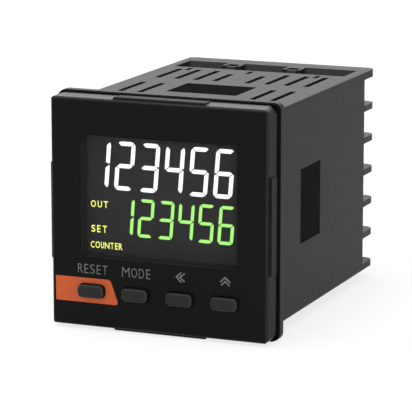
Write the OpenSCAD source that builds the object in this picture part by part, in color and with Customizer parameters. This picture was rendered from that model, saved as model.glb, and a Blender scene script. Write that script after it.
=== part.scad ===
// Panel counter with a square front, a two-line liquid crystal display, four keys and a rear
// block of screw terminals. The origin is the centre of the flange's rear face, the face that
// rests on the panel. The front faces -Y, the terminals face +Y and +Z is up. Millimetres.

/* [Front cover] */
// Width and height of the flange that covers the panel's cut-out
front_size = 48; // [47.5:0.1:52]
// Thickness of the flange
flange_t = 1.8; // [1.4:0.1:2.6]
// Corner radius of the flange
flange_r = 1.6; // [1:0.1:3]
// Depth of the front cover from its rear edge to its face
cover_depth = 4.5; // [4.2:0.1:6]
// Step from the flange's edge in to the cover's rear edge
cover_inset = 0.35; // [0.2:0.05:0.6]
// Lean of the cover's sides from the rear edge to the face
cover_lean = 0.35; // [0.1:0.05:0.5]
// Radius of the cover's front edge
cover_edge_r = 0.6; // [0.3:0.1:1]
// Corner radius of the cover at its rear edge
cover_corner_r = 2; // [0.8:0.1:2.5]
// Thickness of the cover's rim walls
cover_wall = 1.6; // [1.3:0.1:1.8]
// Thickness of the cover's face
face_t = 2; // [1.8:0.1:2.6]
// Length of the grip pad in the middle of each side
pad_l = 20; // [10:0.5:30]
// Step from the flange's edge in to a grip pad's front edge
pad_inset = 0.15; // [0.05:0.05:0.3]
// Radius of a grip pad's front edge
pad_edge_r = 0.5; // [0.2:0.05:0.6]
// Step from the cover's rear edge up to a grip pad's rear end
pad_step = 0.05; // [0.02:0.01:0.15]
// Length of the slope at each end of a grip pad
pad_slope = 0.35; // [0.2:0.05:1]
// Distance of a grip pad's front end behind the cover's face
pad_setback = 0.6; // [0.6:0.1:1.5]
// Thickness of the collar that the cover snaps on
collar_wall = 1.25; // [1:0.05:1.25]
// Thickness of the rubber ring between the cover and the flange
seal_t = 0.9; // [0.6:0.1:1.4]
// Step from the flange's edge in to the rubber ring
seal_inset = 0.1; // [0.05:0.05:0.6]

/* [Display] */
// Width of the clear window
window_w = 34; // [28:0.5:36]
// Height of the clear window
window_h = 25.2; // [20:0.2:27]
// Height of the window's centre above the front's centre
window_z = 3.5; // [2.5:0.1:4.5]
// Corner radius of the window
window_r = 0.6; // [0.2:0.1:1.5]
// Thickness of the window
window_t = 1.4; // [1:0.1:1.5]
// Width of the ledge behind the window's edge
window_ledge = 0.5; // [0.3:0.1:1]
// Width of the display glass that lies behind the cover, beyond the ledge
lcd_margin = 1; // [0.6:0.1:1.4]
// Thickness of the display glass
lcd_t = 2.2; // [1.6:0.1:2.6]
// Wall of the frame that holds the display glass
lcd_frame_wall = 0.8; // [0.6:0.1:1]
// Thickness of the light guide behind the display glass
light_guide_t = 3; // [2.6:0.1:3.6]
// Height of the elastomer strip that connects the display glass
strip_h = 1.8; // [1.4:0.1:2.4]

/* [Keys] */
// Width of a key
key_w = 5.6; // [5:0.1:6.6]
// Height of a key
key_h = 2.65; // [2.5:0.05:3.4]
// Corner radius of a key
key_r = 1; // [0.8:0.05:1.2]
// Radius of a key's front rim
key_rim_r = 0.4; // [0.2:0.05:0.6]
// Distance between neighbouring keys
key_pitch = 9.63; // [8.8:0.01:9.8]
// Height of the keys' centres above the face's lower edge
key_rise = 7.45; // [6.9:0.05:7.9]
// How far a key stands out of the face
key_proud = 1.3; // [0.7:0.1:1.8]
// How far a key can be pressed
key_travel = 0.3; // [0.2:0.05:0.5]
// Clearance round a key in its hole
key_gap = 0.15; // [0.1:0.05:0.2]
// Width of the lip that keeps a key behind the face
key_lip = 0.5; // [0.4:0.05:0.7]
// Thickness of that lip
key_lip_t = 0.7; // [0.5:0.05:0.8]
// Width of a key switch
switch_w = 4.6; // [4.2:0.1:6]
// Height of a key switch across the board
switch_d = 3.6; // [3.2:0.1:4.2]
// Height of a key switch above the board
switch_h = 2; // [1.8:0.1:2.2]
// Diameter of a switch plunger
plunger_d = 1.8; // [1.4:0.1:2.2]
// How far a plunger stands out of its switch
plunger_out = 1; // [0.8:0.1:1.1]
// How far a plunger reaches into its switch
plunger_in = 0.9; // [0.6:0.1:1]

/* [Reset inlay] */
// Height of the coloured inlay round the reset key
inlay_h = 5.15; // [4.6:0.05:5.6]
// Thickness of the inlay
inlay_t = 0.6; // [0.4:0.1:1]
// Distance from the reset key's centre to the inlay's upper right corner
inlay_reach = 3.75; // [3.6:0.05:4.2]
// How far the inlay's lower right corner lies beyond the upper one
inlay_slant = 1.7; // [0.5:0.1:2.1]
// Radius of the inlay's right-hand corners
inlay_r = 0.9; // [0.4:0.1:1.2]
// Margin of the face to the left of the inlay
inlay_edge = 0.15; // [0.1:0.05:0.4]

/* [Case] */
// Width and height of the case behind the panel
case_size = 43.8; // [43:0.1:44.2]
// Wall of the case
case_wall = 1.6; // [1.5:0.1:2]
// Radius of the case's long edges
case_r = 0.5; // [0.3:0.1:1]
// Length of the case's side walls behind the flange
case_depth = 54.1; // [50:0.1:70]
// How far the upper and lower walls run on past the side walls
hood_l = 7.1; // [6.5:0.1:9]
// Radius of the rear corners, seen from above
rear_r = 2; // [1:0.1:3]

/* [Vents] */
// Width of a vent slot
vent_w = 1.3; // [0.8:0.1:1.6]
// Distance between neighbouring vent slots
vent_pitch = 4.35; // [3.6:0.05:4.4]
// Distance of the innermost slots from the middle
vent_first = 3.7; // [3:0.1:4]
// Vent slots in the rear row on each side of the middle
vent_count = 4; // [2:1:4]
// Front end of the rear row of slots
vent_rear_y = 31.2; // [30:0.1:32]
// Length of the slots in the rear row
vent_rear_l = 13.1; // [9:0.1:13.5]
// Length of the innermost slots of the rear row
vent_short_l = 9.8; // [6:0.1:10]
// Front end of the front row of slots
vent_front_y = 11.9; // [9:0.1:13]
// Length of the slots in the front row
vent_front_l = 12.6; // [8:0.1:14]

/* [Bracket ratchets] */
// Length of a ratchet's teeth
ratchet_w = 15.5; // [8:0.1:18]
// Distance between ratchet teeth
ratchet_pitch = 1.45; // [1.2:0.05:1.6]
// Teeth in a ratchet
ratchet_teeth = 8; // [4:1:9]
// Depth of the teeth
ratchet_depth = 0.75; // [0.4:0.05:0.9]
// Depth of the tooth crests under the wall's surface
ratchet_crest = 0.1; // [0.05:0.05:0.3]
// Front end of a ratchet behind the panel
ratchet_y = 15; // [13.5:0.1:16.5]

/* [Latch windows] */
// Width of the latch window in the upper and lower walls
latch_window_w = 39; // [30:0.5:40]
// Front end of the latch window, in front of the side walls' ends
latch_window_lead = 6.8; // [6:0.1:7.2]
// Length of the latch window
latch_window_l = 8.7; // [8:0.1:9.2]
// Length of the slope at the latch window's rear end
latch_ramp = 1.6; // [0.4:0.1:1.8]
// Places of the two latches across the case
latch_x = [-8.3, 5.75]; // [-16:0.05:16]
// Distance between a latch's prongs
latch_w = 3.25; // [2.8:0.05:3.6]
// Width of a prong
prong_w = 0.7; // [0.5:0.1:0.9]
// Length of a prong
prong_l = 4; // [3.6:0.1:4.4]
// Thickness of the prongs and the bridge
prong_t = 0.6; // [0.5:0.1:1.4]
// Length of the bridge between two prongs
bridge_l = 1.5; // [1:0.1:1.8]
// Length of the hook that catches in front of a bridge
hook_l = 2; // [1.6:0.1:3]
// Length of the hook's flat crest
hook_crest = 0.8; // [0.4:0.1:1.2]
// Places of the short slots in front of the latch window
nick_x = [-15, -0.9, 14.4]; // [-16:0.1:16]
// Width of a short slot
nick_w = 1; // [0.8:0.1:1.2]
// Length of a short slot
nick_l = 3.2; // [2.5:0.1:3.4]
// Strip of wall between the short slots and the latch window
nick_strip = 1.2; // [1:0.1:1.4]

/* [Terminals] */
// Rows of terminals
row_count = 6; // [4:1:6]
// Columns of terminals
column_count = 3; // [2:1:3]
// Distance from the outermost contact plates to the block's sides
plate_margin = 1.75; // [1.5:0.05:3]
// Thickness of the fins between the rows
fin_t = 1.3; // [1:0.1:1.5]
// Thickness of the ribs between the columns
rib_t = 1.2; // [1:0.1:1.6]
// Height of those ribs above the terminal floor
rib_h = 2.6; // [1.5:0.1:2.8]
// Depth of the terminal floor in front of the side walls' ends
floor_setback = 1.1; // [0.8:0.1:1.6]
// Thickness of the terminal block behind the floor
block_t = 7; // [6.8:0.1:9]
// Width of a contact plate
plate_w = 7.6; // [7.4:0.1:9]
// Height of a contact plate
plate_h = 4.8; // [4.4:0.1:5]
// Thickness of a contact plate
plate_t = 0.8; // [0.6:0.1:1.2]
// Diameter of a terminal screw's thread
screw_d = 3; // [2.5:0.1:3]
// Length of a terminal screw under its head
screw_l = 6; // [5:0.1:6.2]
// Diameter of a screw head
head_d = 4.8; // [4.4:0.1:5]
// Height of a screw head
head_h = 1.8; // [1.6:0.1:2.2]
// Radius of a screw head's upper edge
head_r = 0.7; // [0.3:0.1:1]
// Side of the square washer under a screw head
washer_s = 4.6; // [4.2:0.1:4.8]
// Thickness of that washer
washer_t = 0.6; // [0.4:0.1:0.8]
// Width of the cross recess in a screw head
cross_w = 0.8; // [0.6:0.1:1]
// Length of the cross recess
cross_l = 3; // [2.4:0.1:3.4]
// Depth of the cross recess
cross_t = 1; // [0.6:0.1:1.2]
// Diameter of the pin that joins a contact plate to the rear board
tail_d = 1.2; // [0.8:0.1:1.2]
// Distance of that pin from the screw
tail_offset = 3; // [2.8:0.1:3.1]
// How far the pins reach through the rear board
tail_out = 1; // [0.6:0.1:1.5]

/* [Boards] */
// Thickness of the circuit boards
board_t = 1.6; // [1:0.1:2]
// Distance of the two side boards from the middle
side_board_x = 15; // [14.6:0.1:16]
// Width and height of the microcontroller
chip_size = 10; // [7:0.5:12]
// Thickness of the microcontroller
chip_t = 1.4; // [1:0.1:2]
// Side of a board header's section
header_s = 2.5; // [2:0.1:3]
// Length of a board header
header_l = 30; // [20:1:34]
// Length of the transformer along the case
core_l = 18; // [14:0.5:20]
// Height of the transformer
core_h = 20; // [16:0.5:22]
// Thickness of the transformer's core
core_t = 5; // [4:0.1:6]
// Width of the transformer's winding
coil_w = 13; // [10:0.5:13.5]
// Distance of the transformer and the relay behind the display board
heavy_y = 20; // [16:0.5:22]
// Height of the transformer's and the relay's centres above the middle, below it where negative
heavy_z = -6; // [-8:0.5:-5]
// Diameter of a smoothing capacitor
can_d = 10; // [8:0.5:10.5]
// Radius of a smoothing capacitor's rolled edge
can_r = 0.8; // [0.4:0.1:1.2]
// Length of a smoothing capacitor
can_l = 12.5; // [8:0.5:13]
// Width of the relay
relay_w = 10; // [8:0.5:11]
// Length of the relay along the case
relay_l = 15; // [12:0.5:18]
// Height of the relay
relay_h = 20; // [16:0.5:22]
// Radius of the relay's upright edges
relay_r = 0.8; // [0.4:0.1:1.5]
// Optocouplers on the output board
opto_count = 4; // [2:1:4]
// Distance between the optocouplers
opto_pitch = 7; // [6.8:0.1:8]
// Length of an optocoupler along the case
opto_l = 6.4; // [5:0.1:8]
// Width of an optocoupler
opto_w = 4.6; // [4:0.1:5.5]
// Height of an optocoupler above its board
opto_h = 3.5; // [2.5:0.1:4.5]

/* [Hidden] */
// Clearance of pieces that are pressed into a recess
fit_gap = 0.05;
// Clearance of pieces that slide into the case or the cover
slide_gap = 0.15;
// Play between a key's lip and the back of the face
key_play = 0.1;
// Room left behind a plunger at full travel
plunger_room = 0.2;
// Clearance between the collar's end and the back of the face
collar_gap = 0.3;
// Length, width and height of the snap ridges on the collar
ridge_l = 14;
ridge_w = 0.8;
ridge_h = 0.4;
// Clearance round a snap ridge in its groove
ridge_gap = 0.15;
// Distance of the capacitors behind the display board, and of the optocouplers
light_part_y = 8;
// Overlap that lets a cut pass clean through a face
cut = 1;

$fn = 48;

// Stations along Y, from front to rear
flange_front = -flange_t;
cover_rear = flange_front - seal_t;
cover_front = cover_rear - cover_depth;
face_rear = cover_front + face_t;
lcd_rear = face_rear + lcd_t;
board_front = lcd_rear + light_guide_t;
board_rear = board_front + board_t;
switch_front = board_front - switch_h;
plunger_front = switch_front - plunger_out;
collar_front = face_rear + collar_gap;
ridge_y = (collar_front + cover_rear) / 2;
rear_depth = case_depth + hood_l;
floor_y = case_depth - floor_setback;
block_front = floor_y - block_t;
rear_board_front = block_front - board_t;
latch_window_front = case_depth - latch_window_lead;
latch_window_rear = latch_window_front + latch_window_l;

// Half sizes across the object
cover_half = front_size / 2 - cover_inset;
cover_face_half = cover_half - cover_lean;
pad_half = front_size / 2 - pad_inset;
rim_half = cover_face_half - cover_wall;
collar_half = rim_half - slide_gap;
collar_in = collar_half - collar_wall;
seal_half = front_size / 2 - seal_inset;
case_half = case_size / 2;
case_in = case_half - case_wall;
block_half = case_in - slide_gap;

// The display stack
lcd_w = window_w - 2 * window_ledge + 2 * lcd_margin;
lcd_h = window_h - 2 * window_ledge + 2 * lcd_margin;
guide_h = lcd_h - strip_h - fit_gap;

// Inner faces of the side boards, measured from the middle
side_board_in = side_board_x - board_t / 2;

// The keys, the inlay's left end, and the rows and columns of terminals
key_z = key_rise - cover_face_half;
inlay_left = -(cover_face_half - cover_edge_r - inlay_edge);
reset_x = -1.5 * key_pitch;
row_pitch = (2 * case_in + fin_t) / row_count;
column_pitch = (2 * (block_half - plate_margin) - plate_w) / (column_count - 1);

function unit(v) = v / norm(v);
function flat(corner) = [corner[0], corner[1]];
function neighbour(corners, i, step) = flat(corners[(i + step + len(corners)) % len(corners)]);

// Directions from a corner along its two edges
function edge_in(corners, i) = unit(neighbour(corners, i, -1) - flat(corners[i]));
function edge_out(corners, i) = unit(neighbour(corners, i, 1) - flat(corners[i]));
function half_angle(corners, i) = acos(edge_in(corners, i) * edge_out(corners, i)) / 2;

// Where a corner's round begins and ends, and the middle of the round
function round_ends(corners, i) =
    let (reach = corners[i][2] / tan(half_angle(corners, i)))
    reach > 0
        ? [flat(corners[i]) + edge_in(corners, i) * reach, flat(corners[i]) + edge_out(corners, i) * reach]
        : [flat(corners[i])];
function round_centre(corners, i) =
    flat(corners[i])
    + unit(edge_in(corners, i) + edge_out(corners, i)) * corners[i][2] / sin(half_angle(corners, i));

function key_x(i) = (i - 1.5) * key_pitch;
function fin_z(i) = (i - row_count / 2) * row_pitch;
function row_z(i) = (i - (row_count - 1) / 2) * row_pitch;
function column_x(i) = (i - (column_count - 1) / 2) * column_pitch;
function vent_x(i) = vent_first + i * vent_pitch;

// Convex outline with rounded corners, each corner given as [x, y, radius]
module rounded_polygon(corners) {
    last = len(corners) - 1;
    polygon([for (i = [0:last]) each round_ends(corners, i)]);
    for (i = [0:last])
        if (corners[i][2] > 0)
            translate(round_centre(corners, i)) circle(r = corners[i][2]);
}

module rounded_rect(w, h, r) {
    rounded_polygon([[-w / 2, -h / 2, r], [w / 2, -h / 2, r], [w / 2, h / 2, r], [-w / 2, h / 2, r]]);
}

// Outline in X and Z, drawn out along Y
module along_y(from, to) {
    translate([0, to, 0]) rotate([90, 0, 0]) linear_extrude(height = to - from) children();
}

// Round bar along Y
module bar_y(d, from, to) {
    translate([0, to, 0]) rotate([90, 0, 0]) cylinder(d = d, h = to - from);
}

// Block given by its two ends on each axis
module span(x, y, z) {
    translate([x[0], y[0], z[0]]) cube([x[1] - x[0], y[1] - y[0], z[1] - z[0]]);
}

module four_sides() {
    for (turn = [0, 90, 180, 270]) rotate([0, turn, 0]) children();
}

module upper_and_lower() {
    children();
    mirror([0, 0, 1]) children();
}

module at_terminals() {
    for (column = [0:column_count - 1], row = [0:row_count - 1])
        translate([column_x(column), 0, row_z(row)]) children();
}

// Section of the cover, the same across its width and its height
module cover_section() {
    rounded_polygon([
        [-cover_half, cover_rear, 0], [cover_half, cover_rear, 0],
        [cover_face_half, cover_front, cover_edge_r], [-cover_face_half, cover_front, cover_edge_r]
    ]);
}

module cover_block() {
    intersection() {
        linear_extrude(height = front_size, center = true) cover_section();
        rotate([0, 90, 0]) linear_extrude(height = front_size, center = true) cover_section();
        along_y(cover_front - cut, cover_rear + cut)
            rounded_rect(2 * cover_half, 2 * cover_half, cover_corner_r);
    }
}

// Pad on the upper side, proud at its rounded front edge and nearly level with the cover's rear edge
module grip_pad() {
    base = rim_half + cover_wall / 2;
    front = cover_front + pad_setback;
    intersection() {
        rotate([90, 0, 90])
            linear_extrude(height = pad_l, center = true)
            rounded_polygon([
                [front, base, 0], [cover_rear, base, 0],
                [cover_rear, cover_half + pad_step, 0], [front, pad_half, pad_edge_r]
            ]);
        along_y(front - cut, cover_rear + cut)
            polygon([
                [-pad_l / 2, base], [pad_l / 2, base], [pad_l / 2, cover_face_half],
                [pad_l / 2 - pad_slope, front_size / 2], [pad_slope - pad_l / 2, front_size / 2],
                [-pad_l / 2, cover_face_half]
            ]);
    }
}

module window_outline(margin) {
    translate([0, window_z])
        rounded_rect(window_w + 2 * margin, window_h + 2 * margin, window_r + max(margin, 0));
}

module lcd_frame_outline(margin) {
    wall = fit_gap + lcd_frame_wall + margin;
    translate([0, window_z]) square([lcd_w + 2 * wall, lcd_h + 2 * wall], center = true);
}

module key_outline(margin) {
    rounded_rect(key_w + 2 * margin, key_h + 2 * margin, key_r + margin);
}

module inlay_outline(margin) {
    top = key_z + inlay_h / 2 + margin;
    bottom = key_z - inlay_h / 2 - margin;
    rounded_polygon([
        [inlay_left - margin, bottom, 0],
        [reset_x + inlay_reach + inlay_slant + margin, bottom, inlay_r],
        [reset_x + inlay_reach + margin, top, inlay_r],
        [inlay_left - margin, top, 0]
    ]);
}

module front_bezel() {
    color([0.11, 0.11, 0.11])
    difference() {
        union() {
            cover_block();
            four_sides() grip_pad();
        }
        along_y(face_rear, cover_rear + cut) square(2 * rim_half, center = true);
        along_y(cover_front - cut, cover_front + window_t) window_outline(0);
        along_y(cover_front - cut, face_rear + cut) window_outline(-window_ledge);
        along_y(cover_front - cut, cover_front + inlay_t) inlay_outline(0);
        for (i = [0:3])
            translate([key_x(i), 0, key_z]) along_y(cover_front - cut, face_rear + cut) key_outline(key_gap);
        four_sides()
            span(
                [-ridge_l / 2 - ridge_gap, ridge_l / 2 + ridge_gap],
                [ridge_y - ridge_w / 2 - ridge_gap, ridge_y + ridge_w / 2 + ridge_gap],
                [rim_half - cut, collar_half + ridge_h + ridge_gap]
            );
    }
}

module display_window() {
    color([0.16, 0.16, 0.17])
    along_y(cover_front, cover_front + window_t) window_outline(-fit_gap);
}

module reset_inlay() {
    color([0.76, 0.36, 0.19])
    along_y(cover_front, cover_front + inlay_t)
    difference() {
        inlay_outline(-fit_gap);
        translate([reset_x, key_z]) key_outline(key_gap);
    }
}

// Section standing on Y = 0 with its two upper corners rounded
module crowned_section(w, height, r) {
    rounded_polygon([[-w / 2, 0, 0], [w / 2, 0, 0], [w / 2, height, r], [-w / 2, height, r]]);
}

// Round piece standing on Z = 0 with a rounded upper edge
module crowned_cylinder(d, height, r) {
    rotate_extrude()
    intersection() {
        crowned_section(d, height, r);
        square([d / 2, height]);
    }
}

// Key cap standing on Z = 0 with a rounded front rim
module key_cap(height) {
    across = key_w / 2 - key_r;
    up = key_h / 2 - key_r;
    for (x = [-across, across], y = [-up, up])
        translate([x, y, 0]) crowned_cylinder(2 * key_r, height, key_rim_r);
    rotate([90, 0, 90])
        linear_extrude(height = 2 * across, center = true) crowned_section(key_h, height, key_rim_r);
    rotate([90, 0, 0])
        linear_extrude(height = 2 * up, center = true) crowned_section(key_w, height, key_rim_r);
}

module key(i) {
    lip_front = face_rear + key_play;
    lip_rear = lip_front + key_lip_t;
    color([0.19, 0.19, 0.19])
    translate([key_x(i), 0, key_z]) {
        translate([0, lip_front, 0]) rotate([90, 0, 0]) key_cap(lip_front - cover_front + key_proud);
        along_y(lip_front, lip_rear) key_outline(key_lip);
        bar_y(plunger_d, lip_rear, plunger_front);
    }
}

module reset_key() { key(0); }
module mode_key() { key(1); }
module shift_key() { key(2); }
module up_key() { key(3); }

module plunger(i) {
    color([0.25, 0.22, 0.2])
    translate([key_x(i), 0, key_z]) bar_y(plunger_d, plunger_front, switch_front + plunger_in);
}

module reset_plunger() { plunger(0); }
module mode_plunger() { plunger(1); }
module shift_plunger() { plunger(2); }
module up_plunger() { plunger(3); }

module seal_ring() {
    color([0.05, 0.05, 0.05])
    along_y(cover_rear, flange_front)
    difference() {
        rounded_rect(2 * seal_half, 2 * seal_half, flange_r);
        square(2 * (collar_half + slide_gap), center = true);
    }
}

// Outline of the case's rear end seen from above, from the given station to the rear
module rear_plan(from) {
    rounded_polygon([
        [-case_half, from, 0], [case_half, from, 0],
        [case_half, rear_depth, rear_r], [-case_half, rear_depth, rear_r]
    ]);
}

module snap_ridge() {
    span(
        [-ridge_l / 2, ridge_l / 2], [ridge_y - ridge_w / 2, ridge_y + ridge_w / 2],
        [collar_half - collar_wall / 2, collar_half + ridge_h]
    );
}

module vent(x, y, length) {
    span([x - vent_w / 2, x + vent_w / 2], [y, y + length], [case_in - cut, case_half + cut]);
}

// Vents of one wall: a rear row over the whole width, and a front row beside the ratchet
module vents() {
    for (side = [-1, 1], i = [0:vent_count - 1])
        vent(side * vent_x(i), vent_rear_y, i == 0 ? vent_short_l : vent_rear_l);
    for (side = [-1, 1], i = [0:vent_count - 1])
        if (vent_x(i) - vent_w > ratchet_w / 2 + vent_w)
            vent(side * vent_x(i), vent_front_y, vent_front_l);
}

// Saw teeth that a mounting bracket grips, steep towards the panel
module ratchet() {
    teeth = [for (i = [0:ratchet_teeth - 1]) each [
        [ratchet_y + i * ratchet_pitch, case_half - ratchet_crest],
        [ratchet_y + (i + 1) * ratchet_pitch, case_half - ratchet_depth]
    ]];
    outline = concat(
        [[ratchet_y, case_half + cut]],
        teeth,
        [[ratchet_y + ratchet_teeth * ratchet_pitch, case_half + cut]]
    );
    rotate([90, 0, 90]) linear_extrude(height = ratchet_w, center = true) polygon(outline);
}

// Openings of the upper wall for the terminal block's latches
module latch_openings() {
    nick_rear = latch_window_front - nick_strip;
    rotate([90, 0, 90])
        linear_extrude(height = latch_window_w, center = true)
        polygon([
            [latch_window_front, case_in - cut], [latch_window_rear - latch_ramp, case_in - cut],
            [latch_window_rear - latch_ramp, case_in], [latch_window_rear, case_half],
            [latch_window_rear, case_half + cut], [latch_window_front, case_half + cut]
        ]);
    for (x = nick_x)
        span(
            [x - nick_w / 2, x + nick_w / 2], [nick_rear - nick_l, nick_rear],
            [case_in - cut, case_half + cut]
        );
}

// Two prongs and the bridge between them, on the latch window's rear edge
module latch_prongs() {
    for (x = latch_x) {
        for (side = [-1, 1])
            translate([x + side * latch_w / 2, 0, 0])
                span([-prong_w / 2, prong_w / 2], [latch_window_rear - prong_l, latch_window_rear + cut],
                    [case_half - prong_t, case_half]);
        span([x - latch_w / 2, x + latch_w / 2], [latch_window_rear - bridge_l, latch_window_rear + cut],
            [case_half - prong_t, case_half]);
    }
}

module case() {
    color([0.24, 0.24, 0.25]) {
        difference() {
            union() {
                along_y(flange_front, 0) rounded_rect(front_size, front_size, flange_r);
                along_y(collar_front, 0) square(2 * collar_half, center = true);
                four_sides() snap_ridge();
                intersection() {
                    along_y(flange_front, rear_depth) rounded_rect(case_size, case_size, case_r);
                    linear_extrude(height = front_size, center = true) rear_plan(flange_front);
                }
            }
            along_y(collar_front - cut, flange_front) square(2 * collar_in, center = true);
            along_y(flange_front, 0) square(2 * min(collar_in, case_in), center = true);
            along_y(0, rear_depth + cut) square(2 * case_in, center = true);
            along_y(collar_front - cut, board_front) lcd_frame_outline(slide_gap);
            span([-front_size, front_size], [case_depth, rear_depth + cut], [-case_in, case_in]);
            upper_and_lower() vents();
            upper_and_lower() latch_openings();
            four_sides() ratchet();
        }
        upper_and_lower() latch_prongs();
    }
}

module fin() {
    translate([0, 0, -fin_t / 2])
    linear_extrude(height = fin_t) {
        translate([-block_half, floor_y - cut]) square([2 * block_half, rear_depth - floor_y - rear_r]);
        rear_plan(case_depth + slide_gap);
    }
}

module column_rib() {
    span([-rib_t / 2, rib_t / 2], [floor_y - cut, floor_y + rib_h], [-block_half, block_half]);
}

// Hook that stands in a latch window in front of its bridge, with a slope that leads it in
module latch_hook(x) {
    width = latch_w - prong_w - 2 * slide_gap;
    top = case_half - slide_gap;
    translate([x, 0, 0])
        rotate([90, 0, 90])
        linear_extrude(height = width, center = true)
        polygon([
            [floor_y - hook_l, block_half - cut], [floor_y, block_half - cut],
            [floor_y, top], [floor_y - hook_crest, top], [floor_y - hook_l, block_half]
        ]);
}

module terminal_block() {
    color([0.13, 0.13, 0.13])
    difference() {
        union() {
            along_y(block_front, floor_y) square(2 * block_half, center = true);
            for (i = [1:row_count - 1]) translate([0, 0, fin_z(i)]) fin();
            for (i = [1:column_count - 1]) translate([column_x(i) - column_pitch / 2, 0, 0]) column_rib();
            upper_and_lower() for (x = latch_x) latch_hook(x);
        }
        at_terminals() {
            bar_y(screw_d + 2 * slide_gap, floor_y - screw_l, floor_y + cut);
            translate([tail_offset, 0, 0]) bar_y(tail_d + 2 * slide_gap, block_front - cut, floor_y + cut);
        }
    }
}

module terminal_plates() {
    color([0.72, 0.7, 0.64])
    at_terminals() {
        difference() {
            along_y(floor_y, floor_y + plate_t) square([plate_w, plate_h], center = true);
            bar_y(screw_d + 2 * slide_gap, floor_y - cut, floor_y + plate_t + cut);
        }
        translate([tail_offset, 0, 0]) bar_y(tail_d, rear_board_front - tail_out, floor_y);
    }
}

module terminal_screws() {
    seat = floor_y + plate_t;
    head_seat = seat + washer_t;
    color([0.75, 0.75, 0.77])
    at_terminals()
    difference() {
        union() {
            translate([0, head_seat, 0]) rotate([-90, 0, 0]) crowned_cylinder(head_d, head_h, head_r);
            along_y(seat, head_seat) square(washer_s, center = true);
            bar_y(screw_d, seat - screw_l, seat);
        }
        for (turn = [0, 90])
            rotate([0, turn, 0])
            span([-cross_l / 2, cross_l / 2], [head_seat + head_h - cross_t, head_seat + head_h + cut],
                [-cross_w / 2, cross_w / 2]);
    }
}

module lcd_glass() {
    color([0.2, 0.21, 0.21])
    translate([0, 0, window_z]) along_y(face_rear, lcd_rear) square([lcd_w, lcd_h], center = true);
}

module lcd_frame() {
    color([0.08, 0.08, 0.08])
    along_y(face_rear, board_front)
    difference() {
        lcd_frame_outline(0);
        translate([0, window_z]) square([lcd_w + 2 * fit_gap, lcd_h + 2 * fit_gap], center = true);
    }
}

module light_guide() {
    bottom = window_z - lcd_h / 2;
    color([0.92, 0.93, 0.9])
    span([-lcd_w / 2, lcd_w / 2], [lcd_rear, board_front], [bottom, bottom + guide_h]);
}

module lcd_connector() {
    top = window_z + lcd_h / 2;
    color([0.55, 0.5, 0.48])
    span([-lcd_w / 2, lcd_w / 2], [lcd_rear, board_front], [top - strip_h, top]);
}

module display_board() {
    color([0.1, 0.32, 0.2])
    along_y(board_front, board_rear) square(2 * block_half, center = true);
}

module key_switches() {
    bore_end = switch_front + plunger_in + key_travel + plunger_room;
    color([0.3, 0.3, 0.31])
    for (i = [0:3])
        translate([key_x(i), 0, key_z])
        difference() {
            along_y(switch_front, board_front) square([switch_w, switch_d], center = true);
            bar_y(plunger_d + 2 * slide_gap, switch_front - cut, bore_end);
        }
}

module microcontroller() {
    color([0.15, 0.15, 0.16])
    translate([0, 0, window_z]) along_y(board_rear, board_rear + chip_t) square(chip_size, center = true);
}

module board_headers() {
    color([0.18, 0.17, 0.16])
    for (side = [-1, 1])
        translate([side * (side_board_in - header_s / 2), 0, 0])
        along_y(board_rear, board_rear + header_s) square([header_s, header_l], center = true);
}

module side_board(side) {
    color([0.1, 0.32, 0.2])
    translate([side * side_board_x, 0, 0])
    along_y(board_rear, rear_board_front) square([board_t, 2 * block_half], center = true);
}

module power_board() { side_board(-1); }
module output_board() { side_board(1); }

module rear_board() {
    color([0.1, 0.32, 0.2])
    difference() {
        along_y(rear_board_front, block_front) square(2 * block_half, center = true);
        at_terminals()
            translate([tail_offset, 0, 0])
            bar_y(tail_d + 2 * slide_gap, rear_board_front - cut, block_front + cut);
    }
}

// The core is a closed frame round the winding
module transformer_core() {
    start = board_rear + heavy_y;
    color([0.35, 0.34, 0.33])
    difference() {
        span([-side_board_in, coil_w - side_board_in], [start, start + core_l],
            [heavy_z - core_h / 2, heavy_z + core_h / 2]);
        span([-side_board_in - cut, coil_w - side_board_in + cut], [start + core_t, start + core_l - core_t],
            [heavy_z - core_h / 2 + core_t, heavy_z + core_h / 2 - core_t]);
    }
}

module transformer_coil() {
    start = board_rear + heavy_y;
    color([0.7, 0.55, 0.2])
    span([-side_board_in, coil_w - side_board_in],
        [start + core_t + fit_gap, start + core_l - core_t - fit_gap],
        [heavy_z - core_h / 2 + core_t + fit_gap, heavy_z + core_h / 2 - core_t - fit_gap]);
}

module smoothing_capacitors() {
    color([0.12, 0.14, 0.25])
    for (z = [-can_d, can_d])
        translate([-side_board_in, board_rear + light_part_y + can_d / 2, z / 2 + can_d / 2])
        rotate([0, 90, 0]) crowned_cylinder(can_d - slide_gap, can_l, can_r);
}

module relay() {
    start = board_rear + heavy_y;
    color([0.2, 0.25, 0.4])
    translate([side_board_in, start + relay_l / 2, heavy_z])
        rotate([0, -90, 0]) linear_extrude(height = relay_w) rounded_rect(relay_h, relay_l, relay_r);
}

module optocouplers() {
    color([0.88, 0.88, 0.86])
    for (i = [0:opto_count - 1])
        translate([side_board_in - opto_h / 2, 0, (i - (opto_count - 1) / 2) * opto_pitch])
        along_y(board_rear + light_part_y, board_rear + light_part_y + opto_l)
        square([opto_h, opto_w], center = true);
}

front_bezel();
display_window();
reset_inlay();
reset_key();
mode_key();
shift_key();
up_key();
reset_plunger();
mode_plunger();
shift_plunger();
up_plunger();
seal_ring();
case();
terminal_block();
terminal_plates();
terminal_screws();
lcd_glass();
lcd_frame();
light_guide();
lcd_connector();
display_board();
key_switches();
microcontroller();
board_headers();
power_board();
output_board();
rear_board();
transformer_core();
transformer_coil();
smoothing_capacitors();
relay();
optocouplers();
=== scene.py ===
"""Looks of the panel counter: materials for its CAD nodes, the lit display, print and thin trim."""

import math

import bmesh
import bpy
from mathutils import Matrix, Vector


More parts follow.
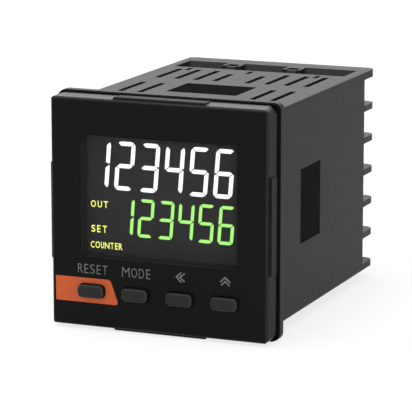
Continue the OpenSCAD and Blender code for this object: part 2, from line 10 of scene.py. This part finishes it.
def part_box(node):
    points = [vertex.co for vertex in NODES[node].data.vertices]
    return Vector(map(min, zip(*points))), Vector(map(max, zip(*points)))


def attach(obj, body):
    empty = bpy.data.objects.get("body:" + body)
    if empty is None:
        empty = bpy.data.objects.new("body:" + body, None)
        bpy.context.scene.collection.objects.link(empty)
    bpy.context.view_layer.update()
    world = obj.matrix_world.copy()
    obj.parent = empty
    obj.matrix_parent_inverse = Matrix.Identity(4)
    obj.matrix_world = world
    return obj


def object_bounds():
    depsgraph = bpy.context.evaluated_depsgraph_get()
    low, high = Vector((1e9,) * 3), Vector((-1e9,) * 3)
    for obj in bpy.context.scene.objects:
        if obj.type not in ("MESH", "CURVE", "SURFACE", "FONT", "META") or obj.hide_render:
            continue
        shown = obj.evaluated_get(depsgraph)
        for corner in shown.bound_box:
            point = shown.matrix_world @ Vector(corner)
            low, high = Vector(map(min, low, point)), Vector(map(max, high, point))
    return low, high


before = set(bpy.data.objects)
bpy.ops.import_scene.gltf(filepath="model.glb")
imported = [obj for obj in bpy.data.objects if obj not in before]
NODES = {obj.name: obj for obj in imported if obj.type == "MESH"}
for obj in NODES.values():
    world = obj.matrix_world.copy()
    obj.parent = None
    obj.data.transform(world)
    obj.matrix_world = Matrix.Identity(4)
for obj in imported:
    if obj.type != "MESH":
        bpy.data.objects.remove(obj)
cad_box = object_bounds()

MM = 0.001


# Camera, from a fit to the photograph's straight edges

CAMERA_EYE = Vector((0.20112, -0.46871, 0.10717))
CAMERA_RIGHT = Vector((0.92415, 0.38202, 0.0))
CAMERA_UP = Vector((-0.0776, 0.1878, 0.9791))
CAMERA_BACK = Vector((0.37405, -0.90487, 0.20321))
CAMERA_LENS = 226.96


def make_camera():
    data = bpy.data.cameras.new("camera")
    data.lens = CAMERA_LENS
    data.sensor_width = 36
    data.clip_start = 0.01
    data.clip_end = 20
    camera = bpy.data.objects.new("camera", data)
    bpy.context.scene.collection.objects.link(camera)
    turn = Matrix((CAMERA_RIGHT, CAMERA_UP, CAMERA_BACK)).transposed().to_4x4()
    camera.matrix_world = Matrix.Translation(CAMERA_EYE) @ turn
    bpy.context.scene.camera = camera


# Materials

# Y stations where the rounded front rims, and the painted highlight on them, end
COVER_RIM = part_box("front_bezel")[0].y + 0.65 * MM
KEY_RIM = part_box("reset_key")[0].y + 0.4 * MM

# The cover's leaning side, as Y and half width at its front and its rear
COVER_SIDE_FRONT = (-7.2 * MM, 23.3 * MM)
COVER_SIDE_REAR = (-2.7 * MM, 23.65 * MM)

# Half widths between which the cover's edges change from crisp to round
COVER_FACE_END = (20.6 * MM, 21.1 * MM)

# Width of the strip at sharp edges that is painted lighter, partly as wear and partly as a painted
# highlight, and what a coarser finish adds to the roughness
WORN_AND_LIT_EDGE = 0.3 * MM
COARSE_ROUGHER = 0.2


def srgb(r, g, b):
    """A colour given as 0 to 255 in sRGB, as the linear colour that a shader takes."""
    def linear(v):
        v /= 255
        return v / 12.92 if v <= 0.04045 else ((v + 0.055) / 1.055) ** 2.4
    return (linear(r), linear(g), linear(b), 1.0)


def shade(colour, factor):
    return tuple(min(1.0, c * factor) for c in colour[:3]) + (1.0,)


WHITE = (1.0, 1.0, 1.0, 1.0)
ORANGE = srgb(190, 88, 48)


class Nodes:
    """A short way to write the node tree of a material or a world."""

    def __init__(self, owner):
        owner.use_nodes = True
        self.owner = owner
        self.tree = owner.node_tree
        self.tree.nodes.clear()

    def add(self, kind, **settings):
        node = self.tree.nodes.new("ShaderNode" + kind)
        for key, value in settings.items():
            setattr(node, key, value)
        return node

    def link(self, out, into):
        self.tree.links.new(out, into)

    def feed(self, socket, value):
        """Link an input to another node's output, or set it to a plain value."""
        if isinstance(value, bpy.types.NodeSocket):
            self.link(value, socket)
        else:
            socket.default_value = value

    def set(self, node, **inputs):
        """Feed inputs by their names, with underscores for spaces."""
        for key, value in inputs.items():
            self.feed(node.inputs[key.replace("_", " ")], value)
        return node

    def place(self):
        """Place on the object, in metres."""
        return self.add("TexCoord").outputs["Object"]

    def noise(self, scale, detail=2.0, where=None):
        """Noise from 0 to 1, with its scale in cells to the metre."""
        node = self.add("TexNoise")
        self.set(node, Vector=where or self.place(), Scale=scale, Detail=detail)
        return node.outputs["Fac"]

    def blend(self, factor, low, high):
        """Colour between low and high by a factor from 0 to 1."""
        node = self.add("Mix", data_type="RGBA")
        factor_in, low_in, high_in, colour_out = 0, 6, 7, 2
        self.feed(node.inputs[factor_in], factor)
        self.feed(node.inputs[low_in], low)
        self.feed(node.inputs[high_in], high)
        return node.outputs[colour_out]

    def remap(self, value, low, high, from_low=0.0, from_high=1.0):
        """Value moved from one range to another, and held inside it."""
        node = self.add("MapRange")
        self.set(node, Value=value, From_Min=from_low, From_Max=from_high, To_Min=low, To_Max=high)
        return node.outputs["Result"]

    def math(self, operation, a, b=None):
        node = self.add("Math", operation=operation)
        for socket, value in zip(node.inputs, (a, b)):
            if value is not None:
                self.feed(socket, value)
        return node.outputs[0]

    def soft_edge(self, radius):
        """Normal that turns over sharp edges as a small moulded radius does."""
        node = self.add("Bevel", samples=8)
        self.set(node, Radius=radius)
        return node.outputs["Normal"]

    def axes(self, vector):
        node = self.add("SeparateXYZ")
        self.link(vector, node.inputs[0])
        return node.outputs["X"], node.outputs["Y"], node.outputs["Z"]

    def sharp_edges(self, width, full_turn=0.72):
        """1 at sharp edges and 0 on flat faces. full_turn is the cosine at which an edge counts in full."""
        dot = self.add("VectorMath", operation="DOT_PRODUCT")
        self.link(self.soft_edge(width), dot.inputs[0])
        self.link(self.add("NewGeometry").outputs["Normal"], dot.inputs[1])
        return self.remap(dot.outputs["Value"], 1.0, 0.0, full_turn, 1.0)

    def in_front(self, station, change=0.05 * MM):
        """1 in front of a Y station and 0 behind it, with a short change between them."""
        return self.remap(self.axes(self.place())[1], 1.0, 0.0, station - change, station + change)

    def reach(self):
        """Distance from the Y axis, along X or Z, whichever is larger."""
        x, _, z = self.axes(self.place())
        return self.math("MAXIMUM", self.math("ABSOLUTE", x), self.math("ABSOLUTE", z))

    def round_edges(self, slanted=0.8, flat=0.992):
        """1 on the rounded edges of a box-shaped piece and 0 on its faces, by the normal's largest part."""
        size = self.add("VectorMath", operation="ABSOLUTE")
        self.link(self.add("TexCoord").outputs["Normal"], size.inputs[0])
        x, y, z = self.axes(size.outputs["Vector"])
        largest = self.math("MAXIMUM", self.math("MAXIMUM", x, y), z)
        return self.remap(largest, 1.0, 0.0, slanted, flat)

    def bump(self, height, strength, distance, normal=None):
        node = self.add("Bump")
        self.set(node, Height=height, Strength=strength, Distance=distance)
        if normal is not None:
            self.link(normal, node.inputs["Normal"])
        return node.outputs["Normal"]

    def seen(self):
        """1 for rays from the camera, from a reflection or through glass, and 0 for other rays."""
        path = self.add("LightPath")
        direct = self.math("MAXIMUM", path.outputs["Is Camera Ray"], path.outputs["Is Glossy Ray"])
        return self.math("MAXIMUM", direct, path.outputs["Is Transmission Ray"])

    def mix(self, factor, low, high):
        """Shader between low and high by a factor from 0 to 1."""
        node = self.add("MixShader")
        for socket, value in zip(node.inputs, (factor, low, high)):
            self.feed(socket, value)
        return node.outputs["Shader"]

    def principled(self):
        shader = self.add("BsdfPrincipled")
        self.finish(shader.outputs["BSDF"])
        return shader

    def finish(self, shader):
        self.link(shader, self.add("OutputMaterial").inputs["Surface"])


def material_nodes(name):
    return Nodes(bpy.data.materials.new(name))


def plastic(name, colour, specular, roughness, edge=0.12 * MM, rim=None, coarse_and_painted_shade=None):
    """Moulded plastic: fine spark-eroded grain, slow change of tone, and sharp edges a little lighter,
    partly from wear and partly as a painted highlight.

    edge is the radius of its sharp edges, a function that gives it by place, or None for a thin film. rim
    is the Y station where a painted highlight on the rounded front rim ends, and how much lighter that
    highlight is. coarse_and_painted_shade is a mask of the surfaces with a coarser, duller finish, and a
    factor on their colour, which below 1 is painted shade.
    """
    n = material_nodes(name)
    shader = n.principled()
    radius = edge(n) if callable(edge) else edge
    worn_and_lit_band = radius if callable(edge) else WORN_AND_LIT_EDGE
    slow = n.blend(n.noise(70, 3), shade(colour, 0.92), shade(colour, 1.08))
    speck = n.blend(n.noise(5200, 2), shade(colour, 0.82), shade(colour, 1.18))
    tone = n.blend(0.5, slow, speck)
    # Sharp edges a little lighter: partly wear, partly a painted highlight
    if edge:
        tone = n.blend(n.sharp_edges(worn_and_lit_band), tone, shade(colour, 1.3))
    rough = n.remap(n.noise(900, 3), roughness - 0.05, roughness + 0.05)
    # Painted highlight: rounded rims in front of the station made lighter
    if rim:
        station, lighter = rim
        painted_rim_highlight = n.math("MULTIPLY", n.round_edges(), n.in_front(station))
        tone = n.blend(painted_rim_highlight, tone, shade(colour, lighter))
    # Coarser, duller finish; a colour factor under 1 paints shade, as on the keys' sides
    if coarse_and_painted_shade:
        where, painted_shade_factor = coarse_and_painted_shade
        mask = where(n)
        shaded_tone = n.blend(n.noise(1800, 3), shade(colour, 0.85 * painted_shade_factor), shade(colour, 1.15 * painted_shade_factor))
        tone = n.blend(mask, tone, shaded_tone)
        rough = n.math("ADD", rough, n.math("MULTIPLY", mask, COARSE_ROUGHER))
    n.set(shader, Base_Color=tone, Roughness=rough, Specular_IOR_Level=specular)
    turned = n.soft_edge(radius) if edge else None
    n.set(shader, Normal=n.bump(n.noise(6500, 3), 0.12, 0.02 * MM, turned))
    return n.owner


def cover_edges(n):
    """Radius of the cover's edges: moulded round at its outer edges and crisp round its openings."""
    crisp, moulded = 0.03 * MM, 0.25 * MM
    return n.remap(n.reach(), crisp, moulded, *COVER_FACE_END)


def on_pads(n):
    """Mask of the grip pads, which stand proud of the cover's leaning sides."""
    y = n.axes(n.place())[1]
    (front, front_half), (rear, rear_half) = COVER_SIDE_FRONT, COVER_SIDE_REAR
    side = n.remap(y, front_half, rear_half, front, rear)
    flush, proud = 0.02 * MM, 0.04 * MM
    return n.remap(n.math("SUBTRACT", n.reach(), side), 0.0, 1.0, flush, proud)


def on_key_sides(n):
    """Mask of a key's sides, behind its rounded rim, which get a coarser finish and painted shade."""
    return n.math("SUBTRACT", 1.0, n.in_front(KEY_RIM))


def rubber(name, colour):
    """Dull rubber with a soft, uneven skin."""
    n = material_nodes(name)
    shader = n.principled()
    n.set(shader, Base_Color=n.blend(n.noise(240, 4), shade(colour, 0.75), shade(colour, 1.2)))
    n.set(shader, Roughness=n.remap(n.noise(1200, 2), 0.7, 0.9), Specular_IOR_Level=0.02)
    n.set(shader, Normal=n.bump(n.noise(3000, 3), 0.2, 0.03 * MM))
    return n.owner


def plated_steel(name):
    """Nickel plate: warm grey metal, slightly uneven, with fine drawn marks."""
    n = material_nodes(name)
    shader = n.principled()
    stretch = n.add("Mapping")
    n.set(stretch, Vector=n.place(), Scale=(1, 0.2, 8))
    marks = n.noise(2600, 4, stretch.outputs["Vector"])
    cloud = n.noise(350, 3)
    n.set(shader, Base_Color=n.blend(cloud, srgb(188, 184, 174), srgb(222, 220, 212)), Metallic=1.0)
    n.set(shader, Roughness=n.remap(marks, 0.22, 0.42))
    n.set(shader, Normal=n.bump(marks, 0.08, 0.01 * MM, n.soft_edge(0.08 * MM)))
    return n.owner


def clear_window(name):
    """Clear window with a hard coat: nearly see-through, with a faint reflection of the room."""
    n = material_nodes(name)
    shader = n.principled()
    n.set(shader, Base_Color=n.blend(n.noise(300, 3), srgb(18, 18, 19), srgb(26, 26, 27)))
    n.set(shader, Roughness=n.remap(n.noise(900, 2), 0.06, 0.12), Specular_IOR_Level=1.0, Alpha=0.015)
    return n.owner


def display_glass(name):
    """Dark display glass, painted a little lighter towards its top against the shadow of the window's
    frame, with the faint haze of its filter.
    """
    n = material_nodes(name)
    shader = n.principled()
    foot, top = -9 * MM, 16 * MM
    # Painted light: lighter towards the top, where the window's frame casts its shadow
    rise = n.remap(n.axes(n.place())[2], 0.0, 1.0, foot, top)
    ground = n.blend(rise, srgb(43, 43, 44), srgb(48, 48, 49))
    haze = n.blend(n.noise(400, 2), srgb(40, 40, 41), srgb(47, 47, 48))
    n.set(shader, Base_Color=n.blend(0.25, ground, haze), Specular_IOR_Level=0.05)
    n.set(shader, Roughness=n.remap(n.noise(2000, 2), 0.3, 0.42))
    return n.owner


def lit(name, colour, strength):
    """Lit part of the display, with the slight unevenness of its backlight."""
    n = material_nodes(name)
    shader = n.add("Emission")
    glow = n.noise(160, 2)
    n.set(shader, Color=n.blend(glow, shade(colour, 0.94), colour), Strength=strength)
    n.finish(shader.outputs["Emission"])
    return n.owner


def ink(name, colour):
    """Screen-printed ink with the slight grain of its mesh."""
    n = material_nodes(name)
    shader = n.principled()
    n.set(shader, Base_Color=n.blend(n.noise(7000, 2), shade(colour, 0.88), shade(colour, 1.1)))
    n.set(shader, Roughness=n.remap(n.noise(4000, 2), 0.5, 0.65), Specular_IOR_Level=0.1)
    return n.owner


def circuit_board(name):
    """Green solder mask over faint copper tracks."""
    n = material_nodes(name)
    shader = n.principled()
    tracks = n.add("TexBrick", offset=0.5)
    turn = n.add("Mapping")
    n.set(turn, Vector=n.place(), Rotation=(math.radians(90), 0, math.radians(45)))
    n.set(tracks, Vector=turn.outputs["Vector"], Scale=260.0)
    n.set(tracks, Color1=srgb(14, 70, 40), Color2=srgb(18, 84, 48), Mortar=srgb(10, 52, 30))
    n.set(shader, Base_Color=n.blend(n.noise(300, 3), tracks.outputs["Color"], srgb(14, 66, 38)))
    n.set(shader, Roughness=n.remap(n.noise(800, 2), 0.25, 0.4), Specular_IOR_Level=0.4)
    return n.owner


def layered(name, colour, dark, across, spacing):
    """Stacked sheets or wound wire: fine bands across one axis."""
    n = material_nodes(name)
    shader = n.principled()
    bands = n.add("TexWave", bands_direction=across)
    n.set(bands, Vector=n.place(), Scale=0.314 / spacing, Distortion=0.4, Detail=1.0)
    n.set(shader, Base_Color=n.blend(bands.outputs["Fac"], dark, colour), Specular_IOR_Level=0.3)
    n.set(shader, Roughness=n.remap(n.noise(700, 2), 0.35, 0.5))
    n.set(shader, Normal=n.bump(bands.outputs["Fac"], 0.3, 0.05 * MM))
    return n.owner


def dress(material, *names):
    for name in names:
        mesh = NODES[name].data
        mesh.materials.clear()
        mesh.materials.append(material)


def make_materials():
    # Cover: painted highlight on its rounded front rims, and a coarser finish on its pads
    dress(
        plastic(
            "cover_black", srgb(19, 19, 19), 0.05, 0.27, edge=cover_edges, rim=(COVER_RIM, 3.5),
            coarse_and_painted_shade=(on_pads, 1.0),
        ),
        "front_bezel",
    )
    dress(clear_window("window_smoke"), "display_window")
    dress(plastic("inlay_orange", ORANGE, 0.12, 0.45), "reset_inlay")
    # Keys: painted highlight on their rounded rims and painted shade on their sides
    dress(
        plastic("key_grey", srgb(44, 44, 45), 0.03, 0.3, rim=(KEY_RIM, 1.7), coarse_and_painted_shade=(on_key_sides, 0.4)),
        "reset_key", "mode_key", "shift_key", "up_key",
    )
    dress(plastic("case_charcoal", srgb(43, 43, 43), 0.0195, 0.28), "case")
    dress(plastic("block_black", srgb(45, 45, 45), 0.027, 0.28), "terminal_block")
    dress(rubber("seal_rubber", srgb(10, 10, 10)), "seal_ring")
    dress(plated_steel("plated_steel"), "terminal_plates", "terminal_screws")
    dress(display_glass("display_glass"), "lcd_glass")
    dress(plastic("frame_black", srgb(14, 14, 14), 0.08, 0.6), "lcd_frame")
    dress(plastic("guide_white", srgb(226, 228, 222), 0.3, 0.3), "light_guide")
    dress(layered("strip_rubber", srgb(150, 140, 134), srgb(40, 38, 38), "X", 0.18 * MM), "lcd_connector")
    dress(circuit_board("board_green"), "display_board", "power_board", "output_board", "rear_board")
    dress(
        plastic("switch_grey", srgb(70, 70, 71), 0.2, 0.5),
        "key_switches", "reset_plunger", "mode_plunger", "shift_plunger", "up_plunger",
    )
    dress(plastic("chip_black", srgb(32, 32, 33), 0.2, 0.55), "microcontroller")
    dress(plastic("header_black", srgb(30, 29, 28), 0.2, 0.5), "board_headers")
    dress(layered("core_steel", srgb(104, 102, 100), srgb(52, 51, 50), "X", 0.5 * MM), "transformer_core")
    dress(layered("coil_tape", srgb(188, 148, 52), srgb(150, 112, 34), "Y", 0.6 * MM), "transformer_coil")
    dress(plastic("can_sleeve", srgb(30, 34, 62), 0.4, 0.28), "smoothing_capacitors")
    dress(plastic("relay_blue", srgb(44, 60, 104), 0.4, 0.3), "relay")
    dress(plastic("opto_white", srgb(216, 216, 210), 0.3, 0.45), "optocouplers")


# Thin pieces on the front: lit digits and words, printed words and signs, the window's border and the
# inlay's end. Their outlines are X and Z in millimetres, and Y is in metres.

LCD_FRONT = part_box("lcd_glass")[0].y
FACE_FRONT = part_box("display_window")[0].y
FILM = 0.02 * MM

# Each word's text, the Z of its foot and its top, and each letter's span in X
LIT_WORDS = {
    "out_word": ("OUT", (0.97, 2.32), [(-15.48, -14.4), (-14.0, -13.05), (-12.68, -11.68)]),
    "set_word": ("SET", (-4.15, -2.72), [(-15.42, -14.57), (-14.15, -13.4), (-12.95, -11.97)]),
    "counter_word": (
        "COUNTER", (-7.41, -6.08),
        [
            (-15.57, -14.78), (-14.54, -13.56), (-13.34, -12.71), (-12.51, -11.46), (-11.24, -10.52),
            (-10.22, -9.62), (-9.42, -8.61),
        ],
    ),
}
PRINTED_WORDS = {
    "reset_word": (
        "RESET", (-12.345, -10.455),
        [(-17.55, -16.46), (-16.14, -15.23), (-14.89, -13.85), (-13.4, -12.56), (-12.15, -11.03)],
    ),
    "mode_word": (
        "MODE", (-12.37, -10.42), [(-7.8, -6.19), (-5.8, -4.55), (-4.15, -3.05), (-2.57, -1.64)],
    ),
}
LIT_WEIGHT = 0.008
PRINTED_WEIGHT = -0.012

# Bent lines of the two signs
SIGNS = {
    "shift_sign": [
        [(4.95, -10.43), (3.98, -11.35), (4.95, -12.3)],
        [(5.72, -10.58), (4.72, -11.38), (5.72, -12.18)],
    ],
    "up_sign": [
        [(13.45, -11.5), (14.45, -10.56), (15.46, -11.5)],
        [(13.66, -12.14), (14.46, -11.34), (15.28, -12.14)],
    ],
}
SIGN_STROKE = 0.27

# Slanted end of the inlay, as X, Z and radius
INLAY_TIP = [(-11.2, -13.28, 0), (-10.43, -13.28, 0.9), (-8.6, -18.4, 0.55), (-10.2, -18.4, 0)]

# Insets of the border from the window's edge: beside the window, and down to the display glass
BORDER_OUT = 0.03
BORDER_IN = 0.47


def add_piece(name, bm, material, body="housing"):
    """Turn a bmesh into a piece that rides on a body, with one material."""
    bmesh.ops.recalc_face_normals(bm, faces=bm.faces)
    mesh = bpy.data.meshes.new(name)
    bm.to_mesh(mesh)
    bm.free()
    mesh.materials.append(material)
    piece = bpy.data.objects.new(name, mesh)
    bpy.context.scene.collection.objects.link(piece)
    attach(piece, body)


def add_wall(bm, a, b):
    """Faces between two closed loops of the same number of vertices."""
    for i in range(len(a)):
        j = (i + 1) % len(a)
        bm.faces.new((a[i], a[j], b[j], b[i]))


def flat_piece(name, outlines, front, material):
    """Closed outlines as thin pieces that lie on a plane facing -Y."""
    bm = bmesh.new()
    for outline in outlines:
        rear = [bm.verts.new((x * MM, front, z * MM)) for x, z in outline]
        fore = [bm.verts.new((x * MM, front - FILM, z * MM)) for x, z in outline]
        bm.faces.new(fore)
        bm.faces.new(rear[::-1])
        add_wall(bm, rear, fore)
    add_piece(name, bm, material)


def rounded(corners, steps=6):
    """Outline through corners given as X, Z and radius."""
    outline = []
    for i, (x, z, radius) in enumerate(corners):
        corner = Vector((x, z))
        before = (Vector(corners[i - 1][:2]) - corner).normalized()
        after = (Vector(corners[(i + 1) % len(corners)][:2]) - corner).normalized()
        half = before.angle(after) / 2
        centre = corner + (before + after).normalized() * radius / math.sin(half)
        first = corner + before * radius / math.tan(half) - centre
        last = corner + after * radius / math.tan(half) - centre
        for k in range(steps + 1 if radius else 1):
            outline.append(tuple(centre + first.lerp(last, k / steps).normalized() * radius))
    return outline


def window_outline(inset, radius=0.58):
    """Outline of the display window, moved in from its edges by an inset."""
    lo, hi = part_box("display_window")
    left, right = lo.x / MM + inset, hi.x / MM - inset
    low, high = lo.z / MM + inset, hi.z / MM - inset
    corners = [(left, low), (right, low), (right, high), (left, high)]
    return rounded([(x, z, radius) for x, z in corners])


def frame_piece(name, section, material):
    """Frame that follows the display window's edges. Its section is given as insets and Y stations."""
    bm = bmesh.new()
    loops = [
        [bm.verts.new((x * MM, y, z * MM)) for x, z in window_outline(inset)] for inset, y in section
    ]
    for a, b in zip(loops, loops[1:] + loops[:1]):
        add_wall(bm, a, b)
    add_piece(name, bm, material)


def corner_arc(x, z, r, first, last, steps=5):
    """Points of an upper left corner's round, from one angle to another, clockwise from its left end."""
    points = []
    for i in range(steps + 1):
        a = math.radians(first + (last - first) * i / steps)
        points.append((x + (r - r * math.cos(a)), z - (r - r * math.sin(a))))
    return points


def segments(half_w, half_h, s):
    """Outlines of the seven segments round the digit's centre. s scales stroke, gaps and rounds.

    t is the stroke and r the outer round. Segments meet at a round's middle, with a gap in degrees.
    """
    t, r, gap = 0.87 * s, 1.15 * s, 0.08 * s
    left, top = -half_w, half_h
    corner_gap = 3.2
    over, under = 45 + corner_gap, 45 - corner_gap
    f = corner_arc(left, top, r, 0, under)
    f += [(left + t, top - t - gap), (left + t, 0.58 * s), (left + 0.17 * s, -0.03 * s), (left, 0.16 * s)]
    a = corner_arc(left, top, r, over, 90)
    a += [(-x, z) for x, z in reversed(a)]
    a += [(half_w - t - gap, top - t), (left + t + gap, top - t)]
    e = [(left, -0.43 * s), (left + 0.17 * s, -0.28 * s)]
    e += [(left + t, -0.53 * s), (left + t, -(top - t - gap))]
    e += [(x, -z) for x, z in reversed(corner_arc(left, top, r, 0, under))]
    g = [(left + 0.31 * s, -0.13 * s), (left + 0.96 * s, 0.43 * s), (half_w - 0.76 * s, 0.43 * s)]
    g += [(-x, -z) for x, z in g]

    def turned(points):
        return [(-x, -z) for x, z in points]

    return {"a": a, "b": turned(e), "c": turned(f), "d": turned(a), "e": e, "f": f, "g": g}


# Lit segments of the digits 1 to 6
DIGITS = ["bc", "abged", "abgcd", "fgbc", "afgcd", "afgedc"]


def number_line(name, half_w, half_h, scale, last_x, pitch, middle_z, slant, material):
    """One line of lit digits, placed by the centre of its last digit."""
    shapes = segments(half_w, half_h, scale)
    lean = math.tan(math.radians(slant))
    outlines = []
    for i, lit_segments in enumerate(DIGITS):
        x0 = last_x - pitch * (len(DIGITS) - 1 - i)
        for segment in lit_segments:
            outlines.append([(x0 + x + z * lean, middle_z + z) for x, z in shapes[segment]])
    flat_piece(name, outlines, LCD_FRONT, material)


def letter_mesh(letter, weight):
    """Flat mesh of one letter in the built-in font."""
    data = bpy.data.curves.new("letter", "FONT")
    data.body = letter
    data.size = 1
    data.offset = weight
    data.resolution_u = 4
    source = bpy.data.objects.new("letter", data)
    bpy.context.scene.collection.objects.link(source)
    bpy.context.view_layer.update()
    shown = source.evaluated_get(bpy.context.evaluated_depsgraph_get())
    mesh = bpy.data.meshes.new_from_object(shown)
    bpy.data.objects.remove(source)
    bpy.data.curves.remove(data)
    return mesh


def words(name, text, spans, z, front, weight, material):
    """Text as a thin piece, with each letter fitted to its span in X and all to one height."""
    bm = bmesh.new()
    for letter, (left, right) in zip(text, spans):
        flat = letter_mesh(letter, weight)
        xs = [v.co.x for v in flat.vertices]
        ys = [v.co.y for v in flat.vertices]
        start, foot = min(xs), min(ys)
        wide = (right - left) / (max(xs) - start)
        tall = (z[1] - z[0]) / (max(ys) - foot)
        for v in flat.vertices:
            x_mm, z_mm = left + (v.co.x - start) * wide, z[0] + (v.co.y - foot) * tall
            v.co = Vector((x_mm * MM, front, z_mm * MM))
        bm.from_mesh(flat)
        bpy.data.meshes.remove(flat)
    bmesh.ops.remove_doubles(bm, verts=bm.verts, dist=1e-6)
    rims = [(edge.verts[:], edge.link_faces[0]) for edge in bm.edges if edge.is_boundary]
    fore = {v: bm.verts.new(v.co - Vector((0, FILM, 0))) for v in bm.verts[:]}
    for face in bm.faces[:]:
        bm.faces.new([fore[v] for v in face.verts], face)
    for (a, b), face in rims:
        bm.faces.new((a, b, fore[b], fore[a]), face)
    add_piece(name, bm, material)


def stroke(points, width):
    """Outline of a bent line with mitred bends and round ends."""
    points = [Vector(p) for p in points]
    aims = [(b - a).normalized() for a, b in zip(points, points[1:])]
    half = width / 2

    def across(aim):
        return Vector((-aim.y, aim.x))

    def cap(centre, aim):
        turns = [math.radians(90 - 30 * i) for i in range(7)]
        return [centre + half * (aim * math.cos(t) + across(aim) * math.sin(t)) for t in turns]

    over, under = [], []
    for p, before, after in zip(points[1:-1], aims, aims[1:]):
        mitre = (across(before) + across(after)).normalized()
        reach = half / mitre.dot(across(before))
        over.append(p + mitre * reach)
        under.append(p - mitre * reach)
    outline = over + cap(points[-1], aims[-1]) + under[::-1] + cap(points[0], -aims[0])
    return [tuple(p) for p in outline]


def make_numbers():
    white = lit("digit_white", WHITE, 1.25)
    green = lit("digit_green", srgb(172, 246, 126), 1.15)
    number_line(
        "count_digits", half_w=2.04, half_h=4.97, scale=1.0, last_x=13.39, pitch=5.34, middle_z=9.79,
        slant=4.6, material=white,
    )
    number_line(
        "preset_digits", half_w=1.67, half_h=3.93, scale=0.78, last_x=13.855, pitch=4.32, middle_z=-0.53,
        slant=4.3, material=green,
    )


def make_words(grey):
    yellow = lit("word_yellow", srgb(232, 236, 110), 1.5)
    for name, (text, z, spans) in LIT_WORDS.items():
        words(name, text, spans, z, LCD_FRONT, LIT_WEIGHT, yellow)
    for name, (text, z, spans) in PRINTED_WORDS.items():
        words(name, text, spans, z, FACE_FRONT, PRINTED_WEIGHT, grey)


def make_trim():
    """Border inside the window's edge, and the end of the orange inlay."""
    border = plastic("border_black", srgb(40, 40, 40), 0.04, 0.4, edge=None)
    front, rear = (corner.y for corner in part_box("display_window"))
    fore, shelf, deep = front + 0.03 * MM, rear - 0.04 * MM, LCD_FRONT - 0.01 * MM
    thick = FILM / MM
    section = [(BORDER_OUT, fore), (BORDER_OUT, shelf), (BORDER_IN, shelf), (BORDER_IN, deep)]
    section += [(BORDER_IN + thick, deep), (BORDER_IN + thick, shelf - FILM)]
    section += [(BORDER_OUT + thick, shelf - FILM), (BORDER_OUT + thick, fore)]
    frame_piece("window_border", section, border)
    orange = plastic("inlay_film", ORANGE, 0.12, 0.45, edge=None)
    flat_piece("inlay_tip", [rounded(INLAY_TIP)], FACE_FRONT, orange)


def make_signs(grey):
    for name, lines in SIGNS.items():
        outlines = [stroke(points, SIGN_STROKE) for points in lines]
        flat_piece(name, outlines, FACE_FRONT, grey)


def make_front():
    print_grey = ink("print_grey", srgb(113, 113, 113))
    make_numbers()
    make_words(print_grey)
    make_trim()
    make_signs(print_grey)


# Floor, light and background

FLOOR_REACH = 6.0
FLOOR_GLOW = 0.78
ROOM_LIGHT = 0.5
LAMP_AIM = Vector((0.0, 0.025, 0.0))


def make_stage():
    """Pale floor under the object, which keeps a soft shadow."""
    lo, _ = cad_box
    n = material_nodes("floor_pale")
    plain = n.add("BsdfDiffuse")
    n.set(plain, Color=n.blend(n.noise(3, 2), (0.9, 0.9, 0.9, 1), (0.92, 0.92, 0.92, 1)))
    white = n.set(n.add("Emission"), Strength=1.0)
    glow = n.math("MULTIPLY", n.seen(), FLOOR_GLOW)
    n.finish(n.mix(glow, plain.outputs["BSDF"], white.outputs["Emission"]))
    mesh = bpy.data.meshes.new("floor")
    corners = [(-1, -1), (1, -1), (1, 1), (-1, 1)]
    mesh.from_pydata([(x * FLOOR_REACH, y * FLOOR_REACH, lo.z) for x, y in corners], [], [(0, 1, 2, 3)])
    mesh.materials.append(n.owner)
    floor = bpy.data.objects.new("floor", mesh)
    bpy.context.scene.collection.objects.link(floor)


def make_world():
    """White where it is seen, and soft even light on the object."""
    world = bpy.data.worlds.new("studio")
    bpy.context.scene.world = world
    n = Nodes(world)
    light = n.set(n.add("Background"), Color=WHITE, Strength=ROOM_LIGHT)
    white = n.set(n.add("Background"), Color=WHITE, Strength=1.0)
    surface = n.mix(n.seen(), light.outputs["Background"], white.outputs["Background"])
    n.link(surface, n.add("OutputWorld").inputs["Surface"])


def soft_box(name, place, size, radiance):
    """Rectangular lamp of a given brightness that looks at the object, unseen by the camera."""
    data = bpy.data.lights.new(name, "AREA")
    data.shape = "RECTANGLE"
    data.size, data.size_y = size
    data.energy = radiance * math.pi * size[0] * size[1]
    lamp = bpy.data.objects.new(name, data)
    bpy.context.scene.collection.objects.link(lamp)
    lamp.location = place
    lamp.rotation_mode = "QUATERNION"
    lamp.rotation_quaternion = (LAMP_AIM - Vector(place)).to_track_quat("-Z", "Y")
    lamp.visible_camera = False


def make_lights():
    soft_box("top_light", place=(-0.15, -0.1, 1.1), size=(0.9, 0.9), radiance=4.5)
    soft_box("side_light", place=(1.0, -0.42, 0.15), size=(0.6, 0.6), radiance=3.5)
    soft_box("rear_light", place=(-0.37, 0.9, 0.48), size=(1.2, 0.5), radiance=1.8)
    soft_box("front_light", place=(-0.3, -1.2, 0.5), size=(0.8, 0.8), radiance=0.6)


make_camera()
make_materials()
make_front()
make_stage()
make_world()
make_lights()
bpy.context.scene.view_settings.view_transform = "Standard"
